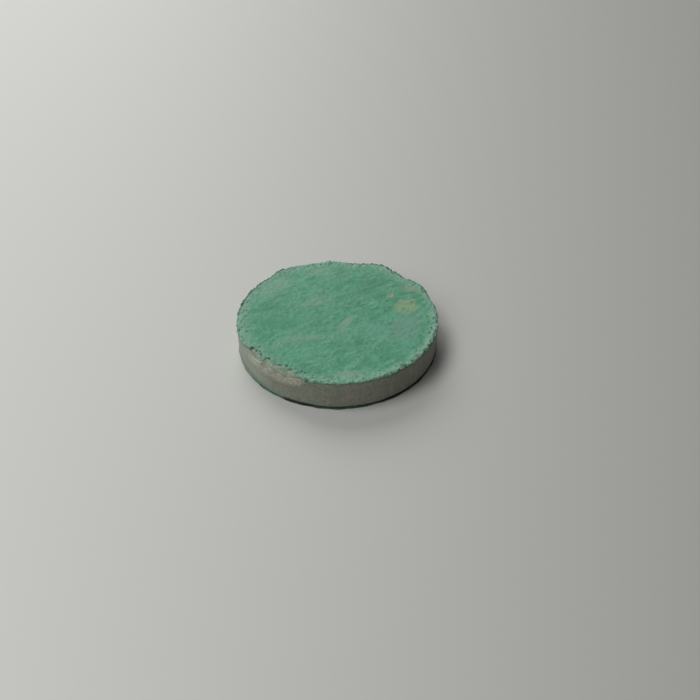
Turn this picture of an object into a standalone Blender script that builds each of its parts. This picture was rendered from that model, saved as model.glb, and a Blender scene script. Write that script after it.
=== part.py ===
"""Round air stone, 50 mm across, in metres with +Z up.

Two pressed stone plates are bonded face to face over a star shaped air gallery. A grey skin seals the
rim, so the air leaves through the two coated faces. The airline's spigot goes into a bush that is flush
with the rim. The origin is the middle of the underside, and the bush faces +Y.
"""

import math

import bmesh
import bpy

MM = 0.001
DEGREE = math.pi / 180

# Overall form
OVERALL_DIAMETER = 50.0 * MM
FIT_GAP = 0.3 * MM
SHARP_ANGLE = 35 * DEGREE
RIM_STEPS = 144

# Stone plates and the adhesive between them
STONE_OVER_FLANGE = 0.6 * MM
PLATE_EDGE_CHAMFER = 0.3 * MM
BOND_THICKNESS = 0.2 * MM
BOND_SETBACK = 0.4 * MM

# Air gallery, half of it moulded into each plate
GALLERY_ARMS = 8
GALLERY_HUB_RADIUS = 6.5 * MM
GALLERY_ARM_WIDTH = 2.6 * MM
GALLERY_DEPTH = 1.2 * MM
GALLERY_DRAFT = 10 * DEGREE
ARM_TIP_STEPS = 8
HUB_ARC_STEPS = 3

# Grey skin round the rim
BAND_WALL = 0.8 * MM
BAND_LIP = 0.16 * MM
RIM_WEAR = 0.3 * MM
LOWER_EDGE_WEAR = 0.12 * MM

# Broken stretch of the upper rim
BREAK_START = -146 * DEGREE
BREAK_END = -115 * DEGREE
BREAK_EASE = 9 * DEGREE
BREAK_INSET = 1.4 * MM
BREAK_DROP = 1.7 * MM
BREAK_RAGGEDNESS = 0.14
BREAK_WAVES = ((29, 0.6), (43, 2.0))
BREAK_ROUGHNESS = 0.09 * MM
BREAK_ROUGH_WAVES = ((53, 0.3), (31, 1.1))

# Coats on the two faces
COAT_THICKNESS = 0.4 * MM
COAT_OVERHANG = 0.1 * MM
COAT_EDGE_ROUND = 0.15 * MM
COAT_CREST_INSET = 0.45 * MM
COAT_RIPPLE = 0.06 * MM
UPPER_COAT_WAVES = ((23, 0.9), (37, 1.8))
LOWER_COAT_WAVES = ((19, 2.3), (41, 4.6))
LOWER_COAT_SETBACK = 0.1 * MM
RIM_BUILD_UP = 0.15 * MM
RIM_BUILD_WIDTH = 2.4 * MM

# Scalloped far edge of the upper coat
SCALLOP_START = 22 * DEGREE
SCALLOP_END = 130 * DEGREE
SCALLOP_EASE = 14 * DEGREE
SCALLOP_DEPTH = 0.5 * MM
SCALLOP_LIFT = 0.2 * MM
SCALLOPS_PER_TURN = 11
SCALLOP_PEAK = 61 * DEGREE

# Bead of dried coat that stands out at the front of the lower face
BEAD_ANGLE = -89 * DEGREE
BEAD_HALF_WIDTH = 3 * DEGREE
BEAD_REACH = 0.45 * MM

# Nub of coat on the far edge of the upper face
NUB_ANGLE = 95 * DEGREE
NUB_HALF_WIDTH = 3 * DEGREE
NUB_REACH = 0.3 * MM
NUB_RISE = 0.15 * MM

# Inlet bush and its seal
INLET_ANGLE = 90 * DEGREE
BUSH_BORE_RADIUS = 1.5 * MM
BUSH_BORE_DEPTH = 4.5 * MM
BUSH_BORE_LEAD = 0.25 * MM
BUSH_WALL = 0.6 * MM
BUSH_STOP_STEP = 0.6 * MM
BUSH_STOP_LENGTH = 2.1 * MM
BUSH_FLANGE_THICKNESS = 0.6 * MM
BUSH_FLANGE_CHAMFER = 0.15 * MM
BUSH_REACH = 0.5 * MM
KEY_GROOVES = 3
KEY_GROOVE_WIDTH = 0.8 * MM
KEY_GROOVE_DEPTH = 0.25 * MM
SEAL_THICKNESS = 0.4 * MM
SEAL_WIDTH = 0.6 * MM
TURNED_STEPS = 48
CUTTER_OVERRUN = 1.0 * MM

# Sizes that follow from the ones above
BUSH_SLEEVE_RADIUS = BUSH_BORE_RADIUS + BUSH_WALL
BUSH_ORIFICE_RADIUS = BUSH_BORE_RADIUS - BUSH_STOP_STEP
BUSH_LENGTH = BUSH_BORE_DEPTH + BUSH_STOP_LENGTH
RECESS_RADIUS = BUSH_SLEEVE_RADIUS + FIT_GAP
BUSH_FLANGE_RADIUS = RECESS_RADIUS + SEAL_WIDTH
BODY_HEIGHT = 2 * (BUSH_FLANGE_RADIUS + STONE_OVER_FLANGE)
PLATE_THICKNESS = (BODY_HEIGHT - BOND_THICKNESS) / 2
PLATE_INSIDE = BAND_WALL + FIT_GAP
INLET_FACE = OVERALL_DIAMETER / 2
INLET_FLAT = INLET_FACE - BUSH_FLANGE_THICKNESS - SEAL_THICKNESS
GALLERY_TIP_RADIUS = INLET_FACE - BUSH_LENGTH + BUSH_REACH

# Heights at which the pieces sit
BODY_SEAT = COAT_THICKNESS
BOND_SEAT = BODY_SEAT + PLATE_THICKNESS
UPPER_PLATE_SEAT = BOND_SEAT + BOND_THICKNESS
UPPER_COAT_SEAT = BODY_SEAT + BODY_HEIGHT
INLET_HEIGHT = BODY_SEAT + BODY_HEIGHT / 2

# Linear colours
COAT_GREEN = (0.105, 0.288, 0.188)
STONE_TAN = (0.3, 0.285, 0.235)
BAND_GREY = (0.25, 0.25, 0.205)
BOND_CREAM = (0.46, 0.42, 0.31)
BUSH_SMOKE = (0.06, 0.065, 0.065)
SEAL_BLACK = (0.02, 0.02, 0.021)


def clear_scene():
    """Empty the scene."""
    for item in list(bpy.data.objects):
        bpy.data.objects.remove(item, do_unlink=True)


def make_material(name, colour, roughness):
    """A plain non-metallic material."""
    material = bpy.data.materials.new(name)
    material.use_nodes = True
    shader = material.node_tree.nodes["Principled BSDF"]
    shader.inputs["Base Color"].default_value = (*colour, 1.0)
    shader.inputs["Roughness"].default_value = roughness
    shader.inputs["Metallic"].default_value = 0.0
    return material


def add_object(name, bm, parent, location):
    """Turn a finished bmesh into an object under the parent."""
    bmesh.ops.recalc_face_normals(bm, faces=bm.faces)
    mesh = bpy.data.meshes.new(name)
    bm.to_mesh(mesh)
    bm.free()
    mesh.shade_smooth()
    mesh.set_sharp_from_angle(angle=SHARP_ANGLE)
    item = bpy.data.objects.new(name, mesh)
    bpy.context.scene.collection.objects.link(item)
    item.parent = parent
    item.location = location
    return item


def add_piece(name, bm, parent, location, material):
    """Add a piece of the air stone in its own material."""
    item = add_object(name, bm, parent, location)
    item.data.materials.append(material)
    return item


def add_cutter(name, bm, parent, location):
    """Add a shape that only cuts other pieces."""
    cutter = add_object(name, bm, parent, location)
    cutter.hide_render = True
    cutter.display_type = "WIRE"
    return cutter


def add_empty(name, parent, location):
    """Add a point that other objects are parented to."""
    empty = bpy.data.objects.new(name, None)
    bpy.context.scene.collection.objects.link(empty)
    empty.parent = parent
    empty.location = location
    return empty


def cut(piece, cutter):
    """Cut the piece with a Boolean modifier."""
    modifier = piece.modifiers.new(cutter.name, "BOOLEAN")
    modifier.operation = "DIFFERENCE"
    modifier.solver = "EXACT"
    modifier.object = cutter


def polar(radius, angle, height):
    """A point at a radius and angle about the disc's axis."""
    return (radius * math.cos(angle), radius * math.sin(angle), height)


def rim_angles():
    """The angles at which the rim's outlines have their points."""
    return [2 * math.pi * step / RIM_STEPS for step in range(RIM_STEPS)]


def smooth_step(value):
    """Rise smoothly from 0 to 1."""
    value = min(max(value, 0.0), 1.0)
    return value * value * (3.0 - 2.0 * value)


def arc_window(angle, start, end, ease):
    """1 on the arc from start to end, easing to 0 outside it."""
    middle = (start + end) / 2
    away = abs((angle - middle + math.pi) % (2 * math.pi) - math.pi)
    return 1.0 - smooth_step((away - (end - start) / 2) / ease)


def coat_drop(angle, middle, half_width):
    """1 at the middle of a drop of coat on an edge, easing to 0 at its sides."""
    return arc_window(angle, middle, middle, half_width)


def body_radius(angle, inside):
    """Radius of the body's outline, drawn in by a distance: round, with a flat behind the bush's flange."""
    radius = OVERALL_DIAMETER / 2 - inside
    toward_inlet = math.cos(angle - INLET_ANGLE)
    if toward_inlet <= 0:
        return radius
    return min(radius, (INLET_FLAT - inside) / toward_inlet)


def waves(angle, pattern):
    """Sum of sine waves round the rim, each given by its count in one turn and its phase."""
    return sum(math.sin(count * angle + phase) for count, phase in pattern)


def broken_share(angle):
    """How much of the full break the upper rim has at an angle."""
    window = arc_window(angle, BREAK_START, BREAK_END, BREAK_EASE)
    return window * (1.0 + BREAK_RAGGEDNESS * waves(angle, BREAK_WAVES))


def break_inset(angle):
    """How far in from the rim the break, or the plain worn edge, reaches on the upper face."""
    return RIM_WEAR + BREAK_INSET * broken_share(angle)


def broken_height(angle, radius, top):
    """Height of the body's upper surface at a radius, which slopes down to the rim over the break."""
    inset = break_inset(angle)
    share = (radius - body_radius(angle, inset)) / inset
    drop = RIM_WEAR + BREAK_DROP * broken_share(angle)
    return top - drop * min(max(share, 0.0), 1.0)


def break_roughness(angle):
    """How far the bare stone stands over or under the middle of the break's slope."""
    return BREAK_ROUGHNESS * broken_share(angle) * waves(angle, BREAK_ROUGH_WAVES)


def scallop(angle):
    """Wave of the upper coat's far edge, from -1 to 1."""
    window = arc_window(angle, SCALLOP_START, SCALLOP_END, SCALLOP_EASE)
    return window * math.cos(SCALLOPS_PER_TURN * (angle - SCALLOP_PEAK))


def upper_coat_radius(angle):
    """Edge of the upper coat, which stops short of the break."""
    edge = body_radius(angle, 0.0) + COAT_OVERHANG
    edge -= break_inset(angle) - RIM_WEAR
    edge += NUB_REACH * coat_drop(angle, NUB_ANGLE, NUB_HALF_WIDTH)
    return edge + COAT_RIPPLE * waves(angle, UPPER_COAT_WAVES) + SCALLOP_DEPTH * scallop(angle)


def lower_coat_radius(angle):
    """Edge of the lower coat, which stops short of the rim, with one bead of coat at the front."""
    edge = body_radius(angle, LOWER_COAT_SETBACK)
    edge += BEAD_REACH * coat_drop(angle, BEAD_ANGLE, BEAD_HALF_WIDTH)
    return edge + COAT_RIPPLE * waves(angle, LOWER_COAT_WAVES)


def rim_crest(angle):
    """Height of the upper coat's built-up rim over its flat face."""
    nub = NUB_RISE * coat_drop(angle, NUB_ANGLE, NUB_HALF_WIDTH)
    return RIM_BUILD_UP + SCALLOP_LIFT * max(scallop(angle), 0.0) + nub


def add_ring(bm, points):
    """Add the vertices of one closed outline."""
    return [bm.verts.new(point) for point in points]


def join_rings(bm, first, second):
    """Join two outlines of as many points with a strip of faces."""
    for step in range(len(first)):
        after = (step + 1) % len(first)
        bm.faces.new((first[step], first[after], second[after], second[step]))


def loft(outlines):
    """A solid through a stack of outlines, closed by a flat face at each end."""
    bm = bmesh.new()
    rings = [add_ring(bm, outline) for outline in outlines]
    for lower, upper in zip(rings, rings[1:]):
        join_rings(bm, lower, upper)
    bm.faces.new(reversed(rings[0]))
    bm.faces.new(rings[-1])
    return bm


def hoop(outlines):
    """A ring through outlines that come back to the first one."""
    bm = bmesh.new()
    rings = [add_ring(bm, outline) for outline in outlines]
    for step, ring in enumerate(rings):
        join_rings(bm, ring, rings[(step + 1) % len(rings)])
    return bm


def turned(profile):
    """Spin a closed profile of (radius, distance) points about the Y axis."""
    bm = bmesh.new()
    corners = [bm.verts.new((radius, distance, 0.0)) for radius, distance in profile]
    edges = [bm.edges.new((corners[step - 1], corners[step])) for step in range(len(corners))]
    bmesh.ops.spin(
        bm, geom=corners + edges, cent=(0, 0, 0), axis=(0, 1, 0), angle=2 * math.pi, steps=TURNED_STEPS,
        use_merge=True, use_duplicate=False,
    )
    return bm


def gallery_outline(inside, height):
    """Outline of the star shaped gallery, drawn in by a distance, anticlockwise."""
    hub = GALLERY_HUB_RADIUS - inside
    half_width = GALLERY_ARM_WIDTH / 2 - inside
    tip_centre = GALLERY_TIP_RADIUS - inside - half_width
    pitch = 2 * math.pi / GALLERY_ARMS
    root = math.asin(half_width / hub)
    points = []
    for arm in range(GALLERY_ARMS):
        heading = INLET_ANGLE + pitch * arm
        centre = polar(tip_centre, heading, height)
        for step in range(ARM_TIP_STEPS + 1):
            turn = heading - math.pi / 2 + math.pi * step / ARM_TIP_STEPS
            offset = polar(half_width, turn, 0.0)
            points.append((centre[0] + offset[0], centre[1] + offset[1], height))
        for step in range(HUB_ARC_STEPS + 1):
            turn = heading + root + (pitch - 2 * root) * step / HUB_ARC_STEPS
            points.append(polar(hub, turn, height))
    return points


def make_gallery_cutter(name, parent, face_height, inward):
    """Cutter for one half of the gallery, which narrows with its draft from the plate's face inward."""
    floor = face_height + inward * GALLERY_DEPTH
    mouth = face_height - inward * CUTTER_OVERRUN
    outlines = [
        gallery_outline(GALLERY_DEPTH * math.tan(GALLERY_DRAFT), floor),
        gallery_outline(-CUTTER_OVERRUN * math.tan(GALLERY_DRAFT), mouth),
    ]
    return add_cutter(name, loft(outlines), parent, (0, 0, 0))


def make_recess_cutter(parent):
    """Cutter for the round recess that the bush's sleeve goes into."""
    inner = GALLERY_TIP_RADIUS - BUSH_REACH - FIT_GAP
    outer = INLET_FACE + CUTTER_OVERRUN
    bm = bmesh.new()
    bmesh.ops.create_cone(
        bm, cap_ends=True, segments=TURNED_STEPS, radius1=RECESS_RADIUS, radius2=RECESS_RADIUS,
        depth=outer - inner,
    )
    cutter = add_cutter("inlet_recess_cutter", bm, parent, (0, (inner + outer) / 2, 0))
    cutter.rotation_euler = (math.pi / 2, 0, 0)
    return cutter


def make_upper_plate(parent, material):
    """Upper stone plate, with the broken stretch of its upper edge."""
    top = PLATE_THICKNESS
    foot = []
    shoulder = []
    slope = []
    face = []
    for angle in rim_angles():
        side = body_radius(angle, PLATE_INSIDE)
        edge = body_radius(angle, max(PLATE_INSIDE + PLATE_EDGE_CHAMFER, break_inset(angle)))
        side_top = min(broken_height(angle, side, top), top - PLATE_EDGE_CHAMFER)
        foot.append(polar(side, angle, 0.0))
        shoulder.append(polar(side, angle, side_top))
        slope.append(polar((side + edge) / 2, angle, (side_top + top) / 2 + break_roughness(angle)))
        face.append(polar(edge, angle, top))
    body = loft([foot, shoulder, slope, face])
    return add_piece("upper_stone_plate", body, parent, (0, 0, UPPER_PLATE_SEAT), material)


def make_lower_plate(parent, material):
    """Lower stone plate, with a plain chamfer on its lower edge."""
    narrow = PLATE_INSIDE + PLATE_EDGE_CHAMFER
    outlines = [
        [polar(body_radius(angle, narrow), angle, 0.0) for angle in rim_angles()],
        [polar(body_radius(angle, PLATE_INSIDE), angle, PLATE_EDGE_CHAMFER) for angle in rim_angles()],
        [polar(body_radius(angle, PLATE_INSIDE), angle, PLATE_THICKNESS) for angle in rim_angles()],
    ]
    return add_piece("lower_stone_plate", loft(outlines), parent, (0, 0, BODY_SEAT), material)


def make_bond_layer(parent, material):
    """Thin adhesive between the plates, set back from their edge."""
    outlines = [
        [polar(body_radius(angle, PLATE_INSIDE + BOND_SETBACK), angle, height) for angle in rim_angles()]
        for height in (0.0, BOND_THICKNESS)
    ]
    return add_piece("plate_bond_layer", loft(outlines), parent, (0, 0, BOND_SEAT), material)


def make_bond_cutter(parent):
    """Cutter that keeps the adhesive out of the gallery."""
    outlines = [
        gallery_outline(-BOND_SETBACK, height)
        for height in (-CUTTER_OVERRUN, BOND_THICKNESS + CUTTER_OVERRUN)
    ]
    return add_cutter("bond_gallery_cutter", loft(outlines), parent, (0, 0, BOND_SEAT))


def make_band(parent, material):
    """Grey skin round the rim, broken away with the stone at the front left."""
    outlines = [[] for corner in range(6)]
    for angle in rim_angles():
        inner = body_radius(angle, BAND_WALL)
        outer = body_radius(angle, 0.0)
        crest = body_radius(angle, min(break_inset(angle), BAND_WALL - BAND_LIP))
        section = (
            (inner, 0.0),
            (body_radius(angle, LOWER_EDGE_WEAR), 0.0),
            (outer, LOWER_EDGE_WEAR),
            (outer, broken_height(angle, outer, BODY_HEIGHT)),
            (crest, broken_height(angle, crest, BODY_HEIGHT)),
            (inner, broken_height(angle, inner, BODY_HEIGHT)),
        )
        for outline, (radius, height) in zip(outlines, section):
            outline.append(polar(radius, angle, height))
    return add_piece("side_seal_band", hoop(outlines), parent, (0, 0, BODY_SEAT), material)


def make_upper_coat(parent, material):
    """Green coat on the upper face, with its built-up and ragged rim."""
    outlines = [[] for level in range(5)]
    for angle in rim_angles():
        edge = upper_coat_radius(angle)
        crest = COAT_THICKNESS + rim_crest(angle)
        section = (
            (edge - COAT_EDGE_ROUND, 0.0),
            (edge, COAT_THICKNESS / 2),
            (edge - COAT_EDGE_ROUND, crest - COAT_EDGE_ROUND / 2),
            (edge - COAT_CREST_INSET, crest),
            (edge - RIM_BUILD_WIDTH, COAT_THICKNESS),
        )
        for outline, (radius, height) in zip(outlines, section):
            outline.append(polar(radius, angle, height))
    return add_piece("top_face_coat", loft(outlines), parent, (0, 0, UPPER_COAT_SEAT), material)


def make_lower_coat(parent, material):
    """Green coat on the lower face, which the disc rests on."""
    levels = ((COAT_EDGE_ROUND, 0.0), (0.0, COAT_THICKNESS / 2), (0.0, COAT_THICKNESS))
    outlines = [
        [polar(lower_coat_radius(angle) - inside, angle, height) for angle in rim_angles()]
        for inside, height in levels
    ]
    return add_piece("bottom_face_coat", loft(outlines), parent, (0, 0, 0), material)


def bush_profile():
    """Half section of the bush: distances run back from its outer face."""
    back = -BUSH_FLANGE_THICKNESS
    end = -BUSH_LENGTH
    profile = [
        (BUSH_BORE_RADIUS + BUSH_BORE_LEAD, 0.0),
        (BUSH_FLANGE_RADIUS - BUSH_FLANGE_CHAMFER, 0.0),
        (BUSH_FLANGE_RADIUS, -BUSH_FLANGE_CHAMFER),
        (BUSH_FLANGE_RADIUS, back),
        (BUSH_SLEEVE_RADIUS, back),
    ]
    pitch = (end - back) / (KEY_GROOVES + 1)
    for groove in range(1, KEY_GROOVES + 1):
        middle = back + pitch * groove
        near = middle + KEY_GROOVE_WIDTH / 2
        far = middle - KEY_GROOVE_WIDTH / 2
        floor = BUSH_SLEEVE_RADIUS - KEY_GROOVE_DEPTH
        profile.append((BUSH_SLEEVE_RADIUS, near))
        profile.append((floor, near - KEY_GROOVE_DEPTH))
        profile.append((floor, far + KEY_GROOVE_DEPTH))
        profile.append((BUSH_SLEEVE_RADIUS, far))
    profile.append((BUSH_SLEEVE_RADIUS, end))
    profile.append((BUSH_ORIFICE_RADIUS, end))
    profile.append((BUSH_ORIFICE_RADIUS, -BUSH_BORE_DEPTH))
    profile.append((BUSH_BORE_RADIUS, -BUSH_BORE_DEPTH))
    profile.append((BUSH_BORE_RADIUS, -BUSH_BORE_LEAD))
    return profile


def make_bush(parent, material):
    """Plastic bush with a stepped bore: the spigot stops on the step."""
    return add_piece("inlet_bush", turned(bush_profile()), parent, (0, INLET_FACE, 0), material)


def make_seal_ring(parent, material):
    """Flat soft ring between the flange and the band's flat."""
    profile = [
        (RECESS_RADIUS, 0.0),
        (BUSH_FLANGE_RADIUS, 0.0),
        (BUSH_FLANGE_RADIUS, SEAL_THICKNESS),
        (RECESS_RADIUS, SEAL_THICKNESS),
    ]
    return add_piece("bush_seal_ring", turned(profile), parent, (0, INLET_FLAT, 0), material)


def build():
    """Model every piece of the air stone."""
    clear_scene()
    stone = add_empty("air_stone", None, (0, 0, 0))
    inlet = add_empty("inlet_axis", stone, (0, 0, INLET_HEIGHT))
    inlet.rotation_euler = (0, 0, INLET_ANGLE - math.pi / 2)

    upper_plate = make_upper_plate(stone, make_material("upper_stone", STONE_TAN, 0.95))
    lower_plate = make_lower_plate(stone, make_material("lower_stone", STONE_TAN, 0.95))
    bond = make_bond_layer(stone, make_material("bond_adhesive", BOND_CREAM, 0.5))
    band = make_band(stone, make_material("rim_skin", BAND_GREY, 0.7))
    make_upper_coat(stone, make_material("upper_coat", COAT_GREEN, 0.8))
    make_lower_coat(stone, make_material("lower_coat", COAT_GREEN, 0.8))
    make_bush(inlet, make_material("bush_plastic", BUSH_SMOKE, 0.4))
    make_seal_ring(inlet, make_material("seal_rubber", SEAL_BLACK, 0.75))

    cut(upper_plate, make_gallery_cutter("upper_gallery_cutter", stone, UPPER_PLATE_SEAT, 1))
    cut(lower_plate, make_gallery_cutter("lower_gallery_cutter", stone, BOND_SEAT, -1))
    cut(bond, make_bond_cutter(stone))
    recess = make_recess_cutter(inlet)
    for piece in (upper_plate, lower_plate, bond, band):
        cut(piece, recess)


build()
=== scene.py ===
import math
import random

import bpy
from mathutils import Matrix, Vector


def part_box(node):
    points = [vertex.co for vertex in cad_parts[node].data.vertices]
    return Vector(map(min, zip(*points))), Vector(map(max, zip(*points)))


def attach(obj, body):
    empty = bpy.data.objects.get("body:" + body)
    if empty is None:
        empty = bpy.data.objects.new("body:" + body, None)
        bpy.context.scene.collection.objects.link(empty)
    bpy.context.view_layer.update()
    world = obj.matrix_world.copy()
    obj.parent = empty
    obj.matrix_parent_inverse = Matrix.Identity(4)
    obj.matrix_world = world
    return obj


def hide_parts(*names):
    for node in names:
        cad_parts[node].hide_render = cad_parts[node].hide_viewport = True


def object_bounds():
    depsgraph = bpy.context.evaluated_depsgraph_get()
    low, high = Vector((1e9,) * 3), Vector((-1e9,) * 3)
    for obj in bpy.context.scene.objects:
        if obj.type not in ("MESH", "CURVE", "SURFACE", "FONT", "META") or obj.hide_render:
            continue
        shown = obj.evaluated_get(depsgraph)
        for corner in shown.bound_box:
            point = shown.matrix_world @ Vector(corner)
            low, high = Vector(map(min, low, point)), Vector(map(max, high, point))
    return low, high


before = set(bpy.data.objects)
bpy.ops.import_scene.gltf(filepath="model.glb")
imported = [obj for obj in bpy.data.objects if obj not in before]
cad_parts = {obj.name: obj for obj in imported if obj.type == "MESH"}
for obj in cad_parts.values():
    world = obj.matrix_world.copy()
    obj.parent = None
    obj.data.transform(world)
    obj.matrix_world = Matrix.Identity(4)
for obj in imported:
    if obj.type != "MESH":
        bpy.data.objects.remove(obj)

CAD_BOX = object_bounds()

# Pieces are shaped in millimetres and brought to metres at the end.
MM = 0.001
DEGREE = math.pi / 180

# A solid's corners that lie closer than this, in metres, are merged. Towards +X, +Y and +Z the pieces
# stay this far inside the solids' box, in millimetres.
MERGE_DISTANCE = 1e-6
BOX_MARGIN = 0.001

# Heights that the solids have, in millimetres
COAT_THICKNESS = 0.4
SKIN_STEP = 0.3
COAT_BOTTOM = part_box("top_face_coat")[0][2] / MM
COAT_FACE = COAT_BOTTOM + COAT_THICKNESS
SKIN_TOP = COAT_BOTTOM - SKIN_STEP
PLATE_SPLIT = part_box("upper_stone_plate")[0][2] / MM

# Sizes of the faces that the pieces are remeshed in, in millimetres, and how much finer a thin coat's
# are through its thickness. Corners closer than the weld share of a face are merged.
COAT_MESH = 0.21
UNDERSIDE_MESH = 0.23
SKIN_MESH = 0.2
STONE_MESH = 0.3
COAT_FLATNESS = 3.0
WELD_SHARE = 0.15

# Broken stretch of the rim: bearings in degrees, depth in millimetres
BREAK_START = -146.0
BREAK_END = -115.0
BREAK_EASE = 9.0
BREAK_DROP = 1.7

# Camera: place and near limit in metres, turn in degrees, lens and sensor in millimetres
CAMERA_PLACE = (0.0, -0.15032, 0.12274)
CAMERA_TURN = (50.06, -0.18, -1.05)
CAMERA_LENS = 38.98
SENSOR_WIDTH = 36.0
CLIP_START = 0.005

# Window at the left, a wide light behind and a low fill at the front left: headings and elevations
# in degrees, distances and sizes in metres, power in watts
WINDOW = {"heading": -174.0, "elevation": 62.0, "distance": 3.0, "size": 1.5, "power": 38.4}
BACK = {"heading": 108.0, "elevation": 35.0, "distance": 3.0, "size": 2.2, "power": 51.7}
FILL = {"heading": -140.0, "elevation": 40.0, "distance": 2.5, "size": 1.5, "power": 17.0}
SKY_STRENGTH = 0.13

# Floor: its side in metres, and its colours near the window and away from it, a painted fall-off of
# the window's light. One fades to the other from this far left of the disc to this far right, in metres.
# The fade grows wider to the back, by a share for each metre, and keeps a least share of its width in front.
FLOOR_SIZE = 4.0
FLOOR_NEAR = (199, 200, 195)
FLOOR_FAR = (155, 156, 151)
FLOOR_FADE = 0.1
FADE_WIDENING = 4.0
FADE_LEAST = 0.6

# Directions in which the coats were brushed, in degrees from +X
UPPER_BRUSHING = 30.0
LOWER_BRUSHING = -40.0

# How far the coat's lumps and hollows stand from its smooth surface, in millimetres, where the painted
# highlight on the lumps and the painted shade in the hollows start and where they are full
RELIEF_LOW = 0.015
RELIEF_HIGH = 0.13

# Pits seen in the upper coat's edge: bearing in degrees, inset and radius in millimetres
EDGE_PITS = (
    (-149, 0.5, 0.70), (-145, 0.4, 0.50), (-141, 0.5, 0.80), (-135, 0.5, 0.75), (-131, 0.3, 0.45),
    (-126, 0.5, 0.90), (-122, 1.5, 0.60), (-118, 0.5, 0.85), (-113, 0.4, 0.60), (-107, 0.4, 0.75),
    (-51, 0.5, 0.80), (-45, 0.2, 0.45), (-40, 0.6, 0.70), (-34, 0.2, 0.45), (-29, 0.4, 0.55),
    (-14, 0.3, 0.30), (-3, 1.0, 0.42), (139, 0.2, 0.45), (53, 0.2, 0.50),
)

# Small pits set at random round the rim, with the least and greatest inset and radius in millimetres
SMALL_PITS = 60
SMALL_PIT_INSET = (0.8, 2.3)
SMALL_PIT_RADIUS = (0.16, 0.3)
PIT_SEED = 11

# A pit is worked out no further from the coat's edge and from its own bearing than this, in millimetres
# and degrees, and this share of its radius is its flat bottom.
PIT_REACH = 3.0
PIT_TURN = 2.0
PIT_CORE = 0.4

# Loose bits: crumbs of coat on the rim and grains of stone in the break. An inset or radius is given by
# its least, greatest and commonest value in millimetres. A bit is sunk by a share of its radius and
# stretched on each axis by a factor between the last two values.
CRUMB_COUNT = 340
CRUMB_INSET = (0.15, 3.4, 0.5)
CRUMB_RADIUS = (0.07, 0.24, 0.11)
CRUMB_SUNK = 0.25
CRUMB_SEED = 5
GRAIN_COUNT = 170
GRAIN_RADIUS = (0.05, 0.18, 0.09)
GRAIN_SUNK = 0.5
GRAIN_SEED = 8
LUMP_STRETCH = (0.7, 1.3)

# Rays seat the loose bits. A crumb's starts this far above the coat's face, in millimetres. A grain's
# starts at this radius and this far above the skin's top, and in the break up to the fall lower. The
# grains spill over this share of the stretches where the break eases out.
CRUMB_START = 2.0
GRAIN_START = 27.6
GRAIN_RISE = 3.0
GRAIN_FALL = 1.9
GRAIN_SPILL = 0.6

# How ragged the outline of a stain or worn place is. The second value, in millimetres, is divided by
# the place's half width and added, so a narrow place is more ragged.
PLAIN_RAGGEDNESS = 1.1
NARROW_RAGGEDNESS = 1.3

# Stains and worn places on the upper coat: middle, heading, half length, half width, strength, colour.
# Lengths are in millimetres and headings in degrees.
FACE_MARKS = (
    ((-13.8, -3.4), 15, 5.2, 2.7, 0.87, (64, 132, 100)),
    ((-17.1, 5.1), 10, 3.6, 2.0, 0.62, (74, 134, 105)),
    ((8.5, 13.0), 38, 7.8, 3.2, 0.77, (70, 127, 101)),
    ((3.3, 8.3), 25, 4.2, 1.8, 0.62, (74, 132, 106)),
    ((-3.1, 0.3), 20, 3.6, 1.6, 0.57, (76, 136, 107)),
    ((-15.8, 12.6), 50, 6.6, 3.4, 0.62, (111, 151, 129)),
    ((-6.0, 5.8), 30, 5.0, 2.3, 0.62, (106, 144, 123)),
    ((-4.6, 19.4), 10, 4.0, 2.2, 0.67, (111, 149, 128)),
    ((1.3, -3.9), 40, 1.9, 1.2, 0.70, (112, 144, 123)),
    ((2.6, -2.2), 60, 1.9, 1.2, 0.75, (115, 146, 126)),
    ((3.7, -0.4), 30, 1.5, 1.0, 0.65, (108, 148, 126)),
    ((-4.4, -8.3), 12, 1.7, 1.0, 0.65, (108, 142, 121)),
    ((-6.9, -8.9), 0, 2.0, 1.2, 0.55, (105, 144, 122)),
    ((-9.5, -9.2), 15, 1.8, 1.1, 0.50, (109, 142, 122)),
    ((-12.3, -9.4), 35, 2.4, 1.4, 0.45, (107, 145, 123)),
    ((-14.6, -11.2), 40, 1.8, 1.1, 0.40, (110, 144, 124)),
    ((16.5, -4.5), 60, 6.4, 4.2, 0.67, (98, 137, 122)),
    ((9.1, -5.9), 15, 4.2, 2.1, 0.62, (82, 142, 119)),
    ((2.7, -21.9), 3, 4.6, 1.4, 0.72, (119, 152, 133)),
    ((17.4, 3.4), 8, 3.7, 2.9, 0.66, (126, 149, 106)),
    ((17.0, 5.6), -15, 1.4, 0.9, 0.60, (134, 141, 115)),
    ((18.9, 6.2), 25, 1.2, 0.8, 0.60, (138, 142, 118)),
    ((19.6, 4.4), 70, 0.9, 0.4, 0.70, (138, 142, 112)),
    ((15.2, 4.6), 30, 0.9, 0.5, 0.70, (136, 143, 108)),
    ((16.8, 2.5), 0, 0.6, 0.6, 0.92, (80, 126, 82)),
    ((19.3, 11.3), -20, 2.9, 1.7, 0.77, (119, 141, 114)),
    ((17.4, 9.2), 12, 1.4, 0.6, 0.92, (66, 116, 82)),
    ((19.6, 9.6), 0, 1.0, 0.5, 0.87, (70, 118, 84)),
    ((13.8, 8.4), 50, 1.4, 0.9, 0.95, (130, 141, 125)),
    ((13.7, 5.3), 10, 1.2, 0.8, 0.45, (74, 150, 108)),
)

# Middle of the reddish blush on the skin, at the front, in millimetres
BLUSH_PLACE = (2.2, -24.9)


# ---------------------------------------------------------------- shapes round the disc


def smooth_step(value):
    """Rise smoothly from 0 to 1."""
    value = min(max(value, 0.0), 1.0)
    return value * value * (3.0 - 2.0 * value)


def rise(value, low, high):
    """0 at low and 1 at high, and the other way round where low is the greater."""
    return smooth_step((value - low) / (high - low))


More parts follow.
